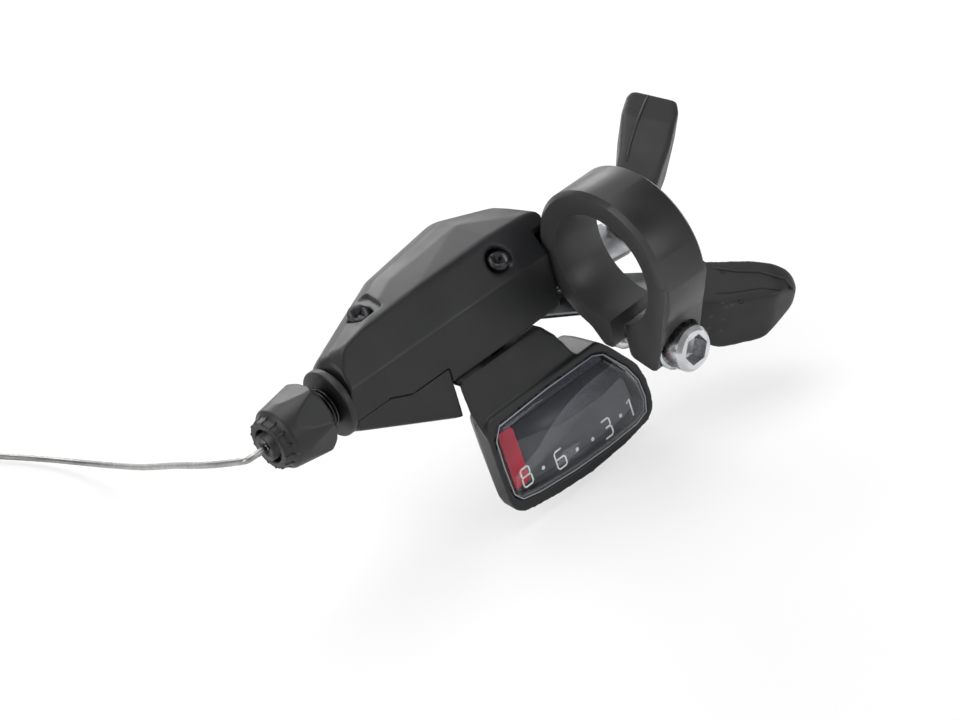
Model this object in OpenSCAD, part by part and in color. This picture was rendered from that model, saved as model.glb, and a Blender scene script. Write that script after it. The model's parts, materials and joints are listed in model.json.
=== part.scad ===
// Bicycle trigger shifter: handlebar clamp, indexed cable reel, two levers and a gear window.
// +X runs along the handlebar towards its end, +Y away from the rider, +Z up.

/* [Handlebar clamp] */
// Diameter of the handlebar
bar_d = 22.2; // [22.2:0.1:23.2]
// Width of the clamp band along the handlebar
clamp_w = 10.8; // [9:0.2:11.4]
// Thickness of the clamp band
clamp_t = 4.4; // [3.6:0.1:4.8]
// Gap between the two ears
ear_gap = 3.6; // [2.4:0.2:4.2]
// Thread diameter of the clamp bolt
bolt_d = 5; // [4:0.5:5.5]
// Distance of the clamp bolt below the handlebar's centre
bolt_drop = 16.1; // [15.8:0.1:16.6]

/* [Body] */
// Lean of the mechanism's axle towards the rider
tilt = 24; // [22:1:26]
// Wall of the moulded covers
wall = 1.2; // [1.1:0.1:1.4]
// Thickness of the steel base plate
base_t = 1.4; // [1:0.1:1.6]
// Diameter of the main axle
axle_d = 5; // [4:0.2:5.2]

/* [Cable and adjuster] */
// Diameter of the inner cable
cable_d = 1.2; // [1.1:0.1:1.2]
// Radius at which the cable winds on the reel
reel_r = 7.6; // [7.2:0.1:7.8]
// Thread diameter of the barrel adjuster
stem_d = 5; // [4.4:0.2:5.4]
// Width of the adjuster knob across its flats
knob_af = 12; // [11:0.5:13]
// Length of the adjuster knob
knob_l = 10.5; // [9:0.5:11]

/* [Levers] */
// Reach of the thumb lever from the axle
thumb_reach = 64; // [60:1:66]
// Thickness of the lever plates
lever_t = 1.3; // [1:0.1:1.3]
// Clicks of the reel between the outermost gears
clicks = 7; // [5:1:7]
// Turn of the reel for one click
click_deg = 24; // [20:1:24]

/* [Gear window] */
// Lean of the gear window from upright
window_lean = 5; // [3:1:7]
// Depth of the indicator housing
window_depth = 9.4; // [9.2:0.2:11]
// Width of the needle
needle_w = 3.7; // [3:0.1:3.8]

/* [Hidden] */
$fn = 64;

// Gap that is left between pieces seated on each other
seat = 0.05;
// Radial clearance of what turns
run = 0.05;
bar_r = bar_d / 2;
ring_r = bar_r + clamp_t;
// The handlebar radius for which the body's points are given
drawn_bar_r = 11.1;
body_shift = bar_r - drawn_bar_r;
half_w = clamp_w / 2;

// Main axle and adjuster in the mechanism's frame: along the bar, away from it, up the axle
cable_v = 15.2;
cable_m = -9.2;
axle_u = -17;
axle_v = cable_v + reel_r;
axle_r = axle_d / 2;
cable_r = cable_d / 2;

// Heights of the stack on the axle
top_plate_m = -5;
top_plate_t = 1.2;
base_m = -12.8;
base_low = base_m - base_t;
release_m = base_low - 0.4;
ratchet_m = release_m - lever_t - 0.4;
ratchet_t = 1.2;
thumb_m = ratchet_m - ratchet_t - 0.3;
spring_m = thumb_m - lever_t - 0.2;
washer_m = spring_m - 2.2;
nut_m = washer_m - 0.5;
nut_t = 2.3;
hub_r = 4;
pos_ratchet_m = top_plate_m - top_plate_t - 0.4;
pos_ratchet_t = 1;
pos_ratchet_r = 7.8;
wind_ratchet_r = 6.2;
reel_top = pos_ratchet_m - pos_ratchet_t - seat;
flange_r = 9.3;
wire_r = 0.25;
wire_m = -11.2;
wire_drum_r = 8.7;

// Body outline seen along the axle, anticlockwise from the nose
outline = [[-55, 3], [-7, 3], [-7, 14.5], [-1.2, 19.5], [-4.8, 29.3], [-14.5, 34.2],
           [-33, 31.4], [-48, 24.2], [-55, 22]];
// Sections of the cover: height, share of its depth behind fold_v that is left, and pull of the nose
fold_v = 16;
// Growth of the inset with the square of the height above the lowest section
draft = 0.004;
sections = [[-9.5, 1, 0], [-8, 0.965, 0], [-6.6, 0.91, 0], [-5.4, 0.85, 0.2], [-4.4, 0.79, 0.5],
            [-2.6, 0.6, 1.2], [-0.1, 0.2, 5]];
body_low = base_low - 0.2;
floor_low = body_low - 1.5;
front_y = 12.4;
crease_m = -4.2;
ridge_v = 19;
lower_end_u = -33.5;
// The nose's lower front edge is cut off where v + m is less than this
nose_foot = -3;

screw_1 = [-42.1, 22.9];
screw_2 = [-15.4, 15.2];
cover_screw_r = 1.1;
pawl_pivot = [-33, axle_v - 2.4];
pawl_pin_r = 1.2;
pillar = [-29.5, 25.2];
lug_screw = [2.7, 18];
lug_top = -9.4;
wind_pivot = [axle_u - 5, axle_v + 8.7];
wind_pin_r = 0.9;

// Adjuster places along the bar
nose_u = -55;
flange_t = 1.4;
knob_end = nose_u - flange_t - 3.1;
stem_r = stem_d / 2;
bore_r = cable_r + 0.35;

// Gear window: its plane's foot, its outline and the lens
window_y = 12.05;
housing_out = [[-28.9, -40.6], [-21, -41.9], [-12, -42.7], [-2.5, -42.2], [4.3, -41],
               [6, -39.6], [6.7, -37], [6.5, -32.7], [5.5, -29.3], [0.5, -22.6], [-2, -20],
               [-31.4, -20], [-31.5, -30], [-31.4, -37], [-30.8, -39.2]];
// The housing's outlines further back, at the needle's clip and at its rear wall
clip_out = [[-29.4, -27.5], [-27.5, -30.5], [-12, -33], [0, -32], [3.4, -28.5], [1.5, -23],
            [-2, -20], [-29.4, -20]];
rear_out = [[-25.5, -27.2], [-24, -29], [-10, -30], [-1, -29], [1.6, -26], [-2, -20], [-25.5, -20]];
dial_h = -3.2;
clip_h = -6.9;
lens_out = [[-28.8, -38], [-24.7, -39], [-15.8, -40], [-6.6, -40.4], [1.2, -40.2],
            [4.3, -39.2], [5.1, -36.4], [4.7, -32.3], [2.9, -28.5], [-1.4, -22.9],
            [-3.8, -21.8], [-16, -21.6], [-28.7, -22.1], [-30.3, -24.4], [-30.5, -30],
            [-30.3, -36.1]];
needle_u = -26.2;
needle_travel = wire_drum_r * clicks * click_deg * PI / 180;
rail_q = -24.5;
rail_ends = [-29.3, -0.3];
clip_w = 1.7;
rail_h = -4.4;
rail_r = 0.5;
wire_h = -6;

// Route of the thin wire from the reel to the needle
wire_path = [[-25.7, 25.4, -1], [-25.6, 18.3, -4.2], [-25, 15.6, -6.4], [-24, 15, -9.2],
             [-23, 14.6, -11.7], [-22.5, 14.4, -14.3], [-22.5, 14.1, -18.3],
             [-22.5, 14.3, -20.8], [-22.4, 15.4, -22.4], [-22, 17.2, -23.5],
             [-21, 17.4, -25.6], [-19, 17.2, -27], [-10, 17.2, -27], [-1, 17.1, -27],
             [0.3, 16.6, -26.2], [-0.6, 16, -25], [-10, 15.9, -25], [-28.5, 15.9, -25]];

// Route of the inner cable: out of the adjuster and down to the surface below
cable_path = [[-17, 17.6, -2.2], [-30, 17.6, -2.2], [-45, 17.6, -2.2], [-60, 17.6, -2.2],
              [-70, 17.6, -2.2], [-73, 17.6, -2.2], [-75.5, 18.4, -2.5], [-77, 21, -3.2],
              [-77, 27, -5.2], [-75, 36, -9], [-72, 48, -15], [-69, 62, -22], [-66, 76, -29],
              [-63, 90, -35], [-62, 102, -39.6], [-62, 110, -41.6], [-63, 117, -42.4],
              [-66, 124, -42.4], [-70, 133, -42.4], [-74.6, 143.5, -42.4]];
floor_z = -43;
coil_at = [-88.5, 150];
coil_r = 12;
coil_half = 3;

function unit(a) = a / norm(a);
function side(a, b) = let (d = unit(b - a)) [d[1], -d[0]];
// The outline moved inwards by d on every side
function inset(p, d) = [
    for (i = [0:len(p) - 1])
        let (n1 = side(p[(i + len(p) - 1) % len(p)], p[i]), n2 = side(p[i], p[(i + 1) % len(p)]))
        p[i] - (n1 + n2) * d / (1 + n1 * n2)
];
// The outline with its corners rounded to radius r in n steps
function rounded(p, r, n = 5) = [
    for (i = [0:len(p) - 1])
        let (b = p[i], ua = unit(p[(i + len(p) - 1) % len(p)] - b),
             uc = unit(p[(i + 1) % len(p)] - b),
             half = acos(max(-1, min(1, ua * uc))) / 2,
             la = norm(p[(i + len(p) - 1) % len(p)] - b), lc = norm(p[(i + 1) % len(p)] - b),
             t = min(r / tan(half), 0.45 * min(la, lc)), rr = t * tan(half),
             mid = b + unit(ua + uc) * rr / sin(half),
             s = b + ua * t - mid, e = b + uc * t - mid,
             a0 = atan2(s[1], s[0]), turn = (atan2(e[1], e[0]) - a0 + 540) % 360 - 180)
        each (half > 88 ? [b] : [for (k = [0:n]) mid + rr * [cos(a0 + turn * k / n), sin(a0 + turn * k / n)]])
];

// Tangents and twist-free normals along a path
function tangents(p) = [
    for (i = [0:len(p) - 1]) unit(p[min(i + 1, len(p) - 1)] - p[max(i - 1, 0)])
];
function across(n, t) = unit(n - (n * t) * t);
function normals(t, i = 0, n = [0.31, 0.17, 0.94]) =
    i == len(t) ? [] : let (m = across(n, t[i])) concat([m], normals(t, i + 1, m));
// A round tube of radius r along the points
module tube(p, r, sides = 8) {
    t = tangents(p);
    n = normals(t);
    pts = [for (i = [0:len(p) - 1], k = [0:sides - 1])
        p[i] + r * (cos(360 * k / sides) * n[i] + sin(360 * k / sides) * cross(t[i], n[i]))];
    walls = [for (i = [0:len(p) - 2], k = [0:sides - 1])
        let (a = i * sides + k, b = i * sides + (k + 1) % sides) [a, a + sides, b + sides, b]];
    ends = [[for (k = [0:sides - 1]) k], [for (k = [sides - 1:-1:0]) (len(p) - 1) * sides + k]];
    polyhedron(pts, concat(walls, ends));
}
// A coil spring standing on the XY plane
module spring(r, wire, turns, height, steps = 14) {
    count = turns * steps;
    tube([for (i = [0:count]) [r * cos(360 * i / steps), r * sin(360 * i / steps),
        wire + (height - 2 * wire) * i / count]], wire, 6);
}

// Frame of the mechanism: X along the bar, Y away from it, Z up the axle
module mech() { translate([0, body_shift, 0]) rotate([tilt, 0, 0]) children(); }
// Frame of the gear window: X along the bar, Y up the window, Z out towards the rider
module window() { translate([0, body_shift + window_y, 0]) rotate([90 - window_lean, 0, 0]) children(); }
module on_axle(m) { mech() translate([axle_u, axle_v, m]) children(); }
// A flat plate whose top face is at height m
module plate(points, m, t) { translate([0, 0, m - t]) linear_extrude(t) polygon(points); }
module hole(at, m, r, l) { translate([at[0], at[1], m - l]) cylinder(h = l, r = r); }
// A profile in the plane across the bar, extruded along the bar
module along_bar(u, l) { translate([u, 0, 0]) rotate([90, 0, 90]) linear_extrude(l) children(); }
// A cylinder along the bar at the cable's line
module on_cable(u, r, l) { mech() translate([u, cable_v, cable_m]) rotate([0, 90, 0]) cylinder(h = l, r = r); }

ear_front = -ear_gap / 2 - 0.7;
ear_back = ear_front + ear_gap;
module clamp_ears() {
    moving = [[-ring_r + 0.2, 0], [-ring_r + 0.5, -2.4], [-8.7, -bolt_drop - 2.7],
              [-7.4, -bolt_drop - 3.1], [ear_front, -bolt_drop - 1.4], [ear_front, -8]];
    fixed = [[ear_back, -8], [ear_back, -bolt_drop - 0.8], [ear_back + 2.8, -bolt_drop - 0.6],
             [ear_back + 5, -bolt_drop + 2.4], [ear_back + 9.5, -bolt_drop + 6.5]];
    along_bar(-half_w, clamp_w) {
        polygon(rounded(moving, 1.4));
        polygon(rounded(fixed, 1.4));
    }
}
module clamp_band() {
    edge = 0.8;
    color("#1b1b1d") difference() {
        union() {
            rotate([0, 90, 0]) rotate_extrude() polygon([[bar_r - 1, -half_w],
                [ring_r - edge, -half_w], [ring_r, -half_w + edge], [ring_r, half_w - edge],
                [ring_r - edge, half_w], [bar_r - 1, half_w]]);
            clamp_ears();
            mech() translate([0, -body_shift, 0]) along_bar(0, half_w)
                polygon([[11, base_m + seat], [22 + body_shift, base_m + seat],
                    [22 + body_shift, lug_top], [13.6 + body_shift, lug_top], [12.6, -6], [9, -6]]);
        }
        rotate([0, 90, 0]) cylinder(h = clamp_w + 2, r = bar_r, center = true, $fn = 96);
        translate([-half_w - 1, ear_front, -bolt_drop - 8]) cube([clamp_w + 2, ear_gap, bolt_drop + 2]);
        translate([0, 0, -bolt_drop]) rotate([-90, 0, 0]) {
            translate([0, 0, -20]) cylinder(h = 40, r = bolt_d / 2 + 0.2);
            translate([0, 0, -20]) cylinder(h = 20 + bolt_seat + seat, r = bolt_d * 0.95 + 0.3);
            translate([0, 0, ear_back + 2]) cylinder(h = 8, r = bolt_d * 0.8 + seat);
        }
        mech() hole(lug_screw, 0, 1.55, 20);
    }
}
bolt_seat = -8.8;
washer_t = 0.6;
head_low = bolt_seat - washer_t - seat;
module clamp_bolt() {
    head_r = bolt_d * 0.85;
    color("#b9bcc0") translate([0, 0, -bolt_drop]) rotate([-90, 0, 0]) difference() {
        union() {
            translate([0, 0, head_low - 1]) cylinder(h = ear_back + 5 - head_low + 0.4, r = bolt_d / 2);
            translate([0, 0, head_low - 3.6]) cylinder(h = 3.6, r = head_r);
            translate([0, 0, head_low - 4.4]) cylinder(h = 0.8, r1 = head_r - 0.7, r2 = head_r);
        }
        translate([0, 0, head_low - 5]) cylinder(h = 3.6, r = bolt_d * 0.5 / cos(30), $fn = 6);
    }
}
module clamp_washer() {
    color("#a5a8ac") translate([0, 0, -bolt_drop]) rotate([-90, 0, 0]) difference() {
        translate([0, 0, bolt_seat - washer_t]) cylinder(h = washer_t, r = bolt_d * 0.95);
        translate([0, 0, bolt_seat - 3]) cylinder(h = 5, r = bolt_d / 2 + 0.1);
    }
}
module clamp_nut() {
    color("#8d9095") translate([0, ear_back + 2 + seat, -bolt_drop]) rotate([-90, 0, 0]) difference() {
        cylinder(h = 1.6, r = bolt_d * 0.8);
        translate([0, 0, -1]) cylinder(h = 4, r = bolt_d / 2 + 0.05);
    }
}
module clamp_screw() {
    color("#8d9095") mech() difference() {
        union() {
            hole(lug_screw, lug_top + 1, 1.5, lug_top + 1 - base_low);
            hole(lug_screw, lug_top + 2, 2.6, 2 - seat);
        }
        translate([lug_screw[0], lug_screw[1], lug_top + 0.8]) cylinder(h = 2, r = 1.4, $fn = 6);
    }
}

base_out = [[-45.5, 12.8], [-7, 12.8], [-5.5, 11.6], [6, 11.6], [7.2, 14], [6.8, 21],
            [1, 26.5], [-7, 29.3], [-15, 31.8], [-33, 29.2], [-45.5, 23.4]];
module base_plate() {
    color("#6f7378") mech() difference() {
        plate(rounded(base_out, 2), base_m, base_t);
        hole([axle_u, axle_v], 0, hub_r + 0.2, 20);
        hole(pawl_pivot, 0, pawl_pin_r + run, 20);
        hole(pillar, 0, 1.3 + run, 20);
        hole(lug_screw, 0, 1.55, 20);
        hole(screw_1, 0, cover_screw_r + run, 20);
        hole([-30, 15.5], 0, cover_screw_r + run, 20);
    }
}
module top_plate() {
    color("#7a7e83") mech() difference() {
        plate(rounded([[-36, 17.5], [-14, 13.8], [-11, 14.5], [-10, 20], [-12, 25.6],
            [-20, 27], [-30, 27], [-33, 25], [-36, 22.5]], 1.5), top_plate_m, top_plate_t);
        hole([axle_u, axle_v], 0, axle_r + run, 20);
        hole(pawl_pivot, 0, pawl_pin_r + run, 20);
        hole(pillar, 0, 1.3 + run, 20);
        hole(screw_2, 0, cover_screw_r + run, 20);
    }
}
module plate_pillar() {
    color("#9a9da2") mech() hole(pillar, top_plate_m, 1.3, top_plate_m - base_low);
}
module main_axle() {
    color("#9a9da2") on_axle(0) {
        translate([0, 0, nut_m - nut_t - 0.6]) cylinder(h = top_plate_m - nut_m + nut_t + 0.7, r = axle_r);
        translate([0, 0, top_plate_m + seat]) cylinder(h = 1, r = axle_r + 1);
    }
}
module axle_washer() {
    color("#a5a8ac") on_axle(washer_m - 0.45) difference() {
        cylinder(h = 0.4, r = axle_r + 1.6);
        translate([0, 0, -1]) cylinder(h = 3, r = axle_r + run);
    }
}
module axle_nut() {
    color("#a5a8ac") on_axle(nut_m - nut_t) difference() {
        cylinder(h = nut_t, r = (axle_d + 3) / 2 / cos(30), $fn = 6);
        translate([0, 0, -1]) cylinder(h = 5, r = axle_r + run);
    }
}

head_at = [2.2, -reel_r + 0.6];
head_r = 1.5;
groove_r = reel_r - cable_r - 0.05;
module cable_reel() {
    low = ratchet_m - ratchet_t;
    color("#2e3033") on_axle(0) difference() {
        rotate_extrude() polygon([[axle_r + run, low], [3, low], [3, ratchet_m + seat],
            [hub_r, ratchet_m + seat], [hub_r, base_m + 0.2], [flange_r, base_m + 0.2],
            [flange_r, wire_m - 0.35], [wire_drum_r - wire_r - 0.05, wire_m - 0.35],
            [wire_drum_r - wire_r - 0.05, wire_m + 0.35], [flange_r, wire_m + 0.35],
            [flange_r, cable_m - 0.8], [groove_r, cable_m - 0.8], [groove_r, cable_m + 0.8],
            [flange_r - 0.8, cable_m + 0.8], [flange_r - 0.8, reel_top], [5.2, reel_top],
            [5.2, wire_m - 0.4], [3.6, wire_m - 0.4], [3.6, reel_top + pos_ratchet_t],
            [axle_r + run, reel_top + pos_ratchet_t]]);
        translate([head_at[0], head_at[1], cable_m - 1.5]) cylinder(h = 10, r = head_r + run);
        translate([head_at[0] - 3, head_at[1] - 4, cable_m - 0.8]) cube([3, 4.2, 10]);
    }
}
module cable_head() {
    color("#b4b7ba") on_axle(cable_m - 1.45) translate([head_at[0], head_at[1], 0]) cylinder(h = 2.7, r = head_r);
}
// A toothed disc with n notches at the click spacing
module ratchet(r, bore, t, depth, n) {
    difference() {
        cylinder(h = t, r = r);
        translate([0, 0, -1]) cylinder(h = t + 2, r = bore);
        for (i = [0:n - 1]) rotate([0, 0, 180 - i * click_deg]) translate([r - depth, 0, -1])
            linear_extrude(t + 2) polygon([[0, 0], [depth * 2, -depth * 0.5], [depth * 2, depth * 2.6]]);
    }
}
module positioning_ratchet() {
    color("#a9acb1") on_axle(pos_ratchet_m - pos_ratchet_t)
        ratchet(pos_ratchet_r, 3.6 + run, pos_ratchet_t, 1.3, clicks + 1);
}
module winding_ratchet() {
    color("#a9acb1") on_axle(ratchet_m - ratchet_t)
        ratchet(wind_ratchet_r, 3 + run, ratchet_t, 1, 2 * clicks);
}
module reel_spring() {
    color("#c6c8cb") on_axle(wire_m - 0.2) spring(4.4, 0.25, 4, 3.2);
}

// A pawl's outline from its pivot (0, 0) to its tip at (length, 0)
function pawl_out(l, w) = [[-w, -w * 0.8], [w, -w], [l - 1, -0.9], [l, 0], [l - 1.1, 0.9],
                           [w, w], [-w * 0.6, w]];
module pawl(l, w, t, bore) {
    difference() {
        linear_extrude(t) polygon(rounded(pawl_out(l, w), 0.5, 3));
        translate([0, 0, -1]) cylinder(h = t + 2, r = bore);
    }
}
module positioning_pawl() {
    tip = [axle_u - pos_ratchet_r - 0.15, axle_v] - pawl_pivot;
    color("#b3b6ba") mech() translate([pawl_pivot[0], pawl_pivot[1], pos_ratchet_m - pos_ratchet_t])
        rotate([0, 0, atan2(tip[1], tip[0])]) pawl(norm(tip), 2.2, pos_ratchet_t, pawl_pin_r + run);
}
module positioning_pawl_pin() {
    color("#9a9da2") mech() hole(pawl_pivot, top_plate_m, pawl_pin_r, top_plate_m - base_low);
}
module positioning_pawl_spring() {
    color("#c6c8cb") mech() translate([pawl_pivot[0], pawl_pivot[1], base_m + seat])
        spring(1.7, 0.22, 6, pos_ratchet_m - pos_ratchet_t - base_m - 2 * seat, 10);
}
module winding_pawl() {
    far = wind_ratchet_r + 0.25;
    tip = [axle_u + far * cos(150), axle_v + far * sin(150)] - wind_pivot;
    color("#b3b6ba") mech() translate([wind_pivot[0], wind_pivot[1], ratchet_m - ratchet_t + 0.1])
        rotate([0, 0, atan2(tip[1], tip[0])]) pawl(norm(tip), 1.6, ratchet_t - 0.2, wind_pin_r + run);
}
module winding_pawl_pin() {
    color("#9a9da2") mech() hole(wind_pivot, ratchet_m + 0.1, wind_pin_r, ratchet_m + 0.1 - thumb_m + lever_t);
}
module winding_pawl_spring() {
    color("#c6c8cb") mech() translate([wind_pivot[0], wind_pivot[1], spring_m - 0.9])
        translate([0, 0, -0.2]) spring(1.5, 0.2, 2, 1.2, 10);
}

thumb_dir = -36.5;
pad_r = thumb_reach;
thumb_arm = rounded([[0, -5.2], [22, -4.6], [pad_r - 14, -3.4], [pad_r - 12, 0],
                     [pad_r - 14, 3], [22, 4.4], [0, 6.5]], 2);
module thumb_lever_plate() {
    color("#85898e") on_axle(thumb_m - lever_t) difference() {
        union() {
            cylinder(h = lever_t, r = 9);
            linear_extrude(lever_t) polygon(rounded([[-9, 2], [6, 6.6], [-2, 12.2], [-8, 11.4]], 2));
            rotate([0, 0, thumb_dir]) linear_extrude(lever_t) polygon(thumb_arm);
        }
        translate([0, 0, -1]) cylinder(h = 4, r = axle_r + run);
        translate([wind_pivot[0] - axle_u, wind_pivot[1] - axle_v, -1]) cylinder(h = 4, r = wind_pin_r + run);
    }
}
// The moulded pad: its outline from the side, cut to its outline from above
module thumb_lever_pad() {
    top = thumb_m + 1;
    side_out = [[pad_r - 27, top - 3.8], [pad_r - 23, top - 9.4], [pad_r - 14, top - 13.6],
                [pad_r - 6, top - 12.6], [pad_r + 0.5, top - 7], [pad_r + 0.2, top - 2],
                [pad_r - 4, top], [pad_r - 27, top]];
    top_out = [[pad_r - 28, -5.2], [pad_r - 16, -6], [pad_r - 5, -5], [pad_r + 0.5, -1.4],
               [pad_r, 2.4], [pad_r - 8, 4.4], [pad_r - 18, 5], [pad_r - 28, 4.6]];
    color("#3a3c40") on_axle(0) rotate([0, 0, thumb_dir]) difference() {
        intersection() {
            rotate([90, 0, 0]) translate([0, 0, -8]) linear_extrude(16) polygon(rounded(side_out, 3));
            translate([0, 0, -32]) linear_extrude(25) polygon(rounded(top_out, 2.6));
        }
        translate([0, 0, thumb_m - lever_t - seat]) linear_extrude(lever_t + 2 * seat)
            polygon(inset(thumb_arm, -seat));
    }
}
module thumb_lever_spring() {
    color("#c6c8cb") on_axle(washer_m + seat) spring(3.3, 0.35, 2, spring_m - washer_m - 2 * seat);
}

release_arm = rounded([[-17, 14.6], [2, 10], [14, 8.6], [24, 13], [31, 18], [27, 21.4],
                       [15, 16.6], [0, 22], [-14, 31]], 2);
module release_lever_plate() {
    color("#85898e") mech() difference() {
        union() {
            translate([axle_u, axle_v, release_m - lever_t]) cylinder(h = lever_t, r = 8.4);
            plate(release_arm, release_m, lever_t);
        }
        hole([axle_u, axle_v], 0, hub_r + 0.1, 30);
    }
}
module release_lever_pad() {
    top_out = [[15, 9.2], [24, 12.6], [33, 17], [41, 22], [44.8, 26.2], [45.2, 30.4],
               [42.6, 32.2], [37, 31.9], [32.6, 29.3], [26, 23.6], [20, 19.4], [15, 17]];
    low = release_m - lever_t - 0.5;
    side_out = [[0, low], [18, low], [27, -15], [34, -12.4], [36, -9], [33.5, -5.8],
                [26, -5.4], [14, -9], [4, -12.6], [0, release_m + 0.6]];
    color("#3a3c40") mech() difference() {
        intersection() {
            translate([0, 0, -20]) linear_extrude(20) polygon(rounded(top_out, 2.4));
            translate([13, 9, 0]) rotate([90, 0, 29]) translate([0, 0, -20]) linear_extrude(40)
                polygon(rounded(side_out, 2));
        }
        plate(inset(release_arm, -seat), release_m + seat, lever_t + 2 * seat);
    }
}
module release_lever_spring() {
    color("#c6c8cb") mech() translate([-30.8, 28, base_low - 1]) rotate([0, 90, 0]) spring(0.6, 0.2, 8, 6.6, 8);
}

// The body's outline at one section: its back is drawn in towards fold_v and its nose is pulled back
function section_out(s) = [
    for (p = outline) [p[0] < -50 ? p[0] + s[2] : p[0],
        p[1] > fold_v ? fold_v + (p[1] - fold_v) * s[1] : p[1]]
];
// The body's outer form, or with d > 0 the same form inside its wall
module body_form(d, low) {
    lean = tan(tilt);
    front_v = (front_y + d) / cos(tilt);
    strip = [[front_v + crease_m * lean, crease_m - d * 0.6], [ridge_v - 0.8, -0.5 - d],
             [ridge_v + 0.2, -0.1 - d]];
    foot = nose_foot + d * sqrt(2);
    difference() {
        intersection() {
            hull() {
                translate([0, 0, low]) linear_extrude(0.01)
                    polygon(inset(rounded(outline, 3, 4), d + draft));
                for (s = sections) translate([0, 0, s[0] - d * (1 - s[0] / sections[0][0])])
                    linear_extrude(0.05) polygon(inset(rounded(section_out(s), 3, 4),
                        d + draft * pow(s[0] - sections[0][0], 2)));
            }
            along_bar(-60, 65) polygon([[front_v - 30 * lean, -30], [60, -30], [60, -0.1 - d],
                strip[2], strip[1], strip[0]]);
        }
        along_bar(-60, 60 + lower_end_u) polygon([[foot + 30, -30], [-40, -30], [-40, 40 + foot]]);
    }
}
// The side of the parting line above it, or below it when under is true
module parting(under) {
    points = under
        ? [[-60, floor_low], [lower_end_u, floor_low], [lower_end_u, body_low - 0.1],
           [-35, body_low - 0.1], [-47, -9.9], [-60, -9.9]]
        : [[-60, -9.8], [-47, -9.8], [-35, body_low], [5, body_low], [5, 5], [-60, 5]];
    translate([0, 60, 0]) rotate([90, 0, 0]) linear_extrude(80) polygon(points);
}
module cover_cuts() {
    plate(inset(rounded(base_out, 2), -0.2), base_m + 0.1, base_t + 0.2);
    translate([nose_u - 2, cable_v, cable_m]) rotate([0, 90, 0]) cylinder(h = 8, r = stem_r + 1.6 + run);
}
module screw_boss(at, r, top, low) {
    translate([at[0], at[1], low]) cylinder(h = top - low, r = r);
}
module upper_cover() {
    color("#222326") mech() difference() {
        intersection() {
            union() {
                difference() {
                    body_form(0, body_low);
                    body_form(wall, body_low - 1);
                }
                intersection() {
                    body_form(0.4, body_low);
                    union() {
                        screw_boss(screw_1, 2.9, 0, base_m + 0.15);
                        screw_boss(screw_2, 2.4, 0, top_plate_m + seat);
                    }
                }
            }
            parting(false);
        }
        cover_cuts();
        hole(screw_1, 4, 2.5, 8.3);
        hole(screw_1, 4, cover_screw_r + run, 30);
        hole(screw_2, 4, 2.5, 7.4);
        hole(screw_2, 4, cover_screw_r + run, 30);
        translate([0, ridge_v, -0.9]) rotate([-30, 0, 0]) linear_extrude(4)
            polygon(rounded([[-49, 1.6], [-39, 1.2], [-37, 8.6], [-40.5, 9]], 1.2));
        rotate([0, 90, 0]) translate([0, 0, -half_w - 0.7]) cylinder(h = 20, r = ring_r + 0.6);
    }
}
// The fairing under the nose, which swells from nothing to the window's neck
module fairing() {
    difference() {
        hull() {
            along_bar(nose_u + 0.1, 0.01) polygon([[8.5, -11.5], [12.8, -15.8], [12.6, -15.2], [9, -11.6]]);
            along_bar(lower_end_u - 0.01, 0.01)
                polygon([[8.5, -11.5], [4.2, -21], [5.7, -22.8], [12.8, -15.8], [12.6, -15.2], [9, -11.6]]);
        }
        intersection() {
            parting(false);
            along_bar(nose_u - 5, 35) translate([nose_foot - seat, 0])
                polygon([[30, -30], [60, -30], [60, 10], [-10, 10]]);
        }
    }
}
module lower_cover() {
    color("#1f2023") mech() {
        difference() {
            intersection() {
                difference() {
                    body_form(0, floor_low - 2);
                    body_form(wall, body_low);
                }
                parting(true);
            }
            cover_cuts();
        }
        fairing();
    }
}
module cover_screw(at, head_m, low) {
    difference() {
        union() {
            hole(at, head_m, 2, 1.5);
            hole(at, head_m - 1.5, cover_screw_r, head_m - 1.5 - low);
        }
        for (a = [0, 90]) translate([at[0], at[1], head_m - 0.5]) rotate([0, 0, a + 20])
            cube([2.4, 0.6, 1.6], center = true);
    }
}
module cover_screws() {
    color("#6b6e73") mech() {
        cover_screw(screw_1, -2.75, base_low + 0.1);
        cover_screw(screw_2, -1.85, top_plate_m - top_plate_t);
    }
}

module adjuster_insert() {
    color("#3c3f44") difference() {
        union() {
            on_cable(nose_u - seat - flange_t, 6.4, flange_t);
            on_cable(nose_u - seat - flange_t, stem_r + 1.6, flange_t + 5.5);
        }
        on_cable(nose_u - 10, stem_r + run, 30);
    }
}
module adjuster_knob() {
    ridge = knob_af / 2 / cos(30);
    color("#2a2b2e") difference() {
        mech() translate([knob_end, cable_v, cable_m]) rotate([0, -90, 0]) {
            intersection() {
                cylinder(h = knob_l, r = ridge, $fn = 6);
                rotate_extrude() polygon([[0, 0], [ridge - 0.9, 0], [ridge - 0.1, 1],
                    [ridge - 1.2, knob_l - 2.2], [ridge - 2.2, knob_l - 1.4], [ridge - 2.4, knob_l],
                    [0, knob_l]]);
            }
        }
        on_cable(knob_end - knob_l - 5, stem_r + 0.02, knob_l + 10);
        on_cable(knob_end - knob_l - 5, stem_r + 0.7, 6.6);
    }
}
module adjuster_stem() {
    stem_end = knob_end - knob_l - 0.6;
    color("#4a4c50") difference() {
        on_cable(stem_end, stem_r, nose_u + 5.2 - stem_end);
        on_cable(stem_end - 1, bore_r, 40);
    }
}
module adjuster_spring() {
    color("#b9bcc0") mech() translate([knob_end + 0.1, cable_v, cable_m]) rotate([0, 90, 0])
        spring(stem_r + 1, 0.35, 3, nose_u - flange_t - knob_end - 0.3);
}

neck_depth = 6;
neck_out = [[-31.4, -24], [-5, -24], [-10, -14], [-12.5, -10.7], [-33.3, -10.7], [-33, -17]];
tab_m = body_low - 0.1;
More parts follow.
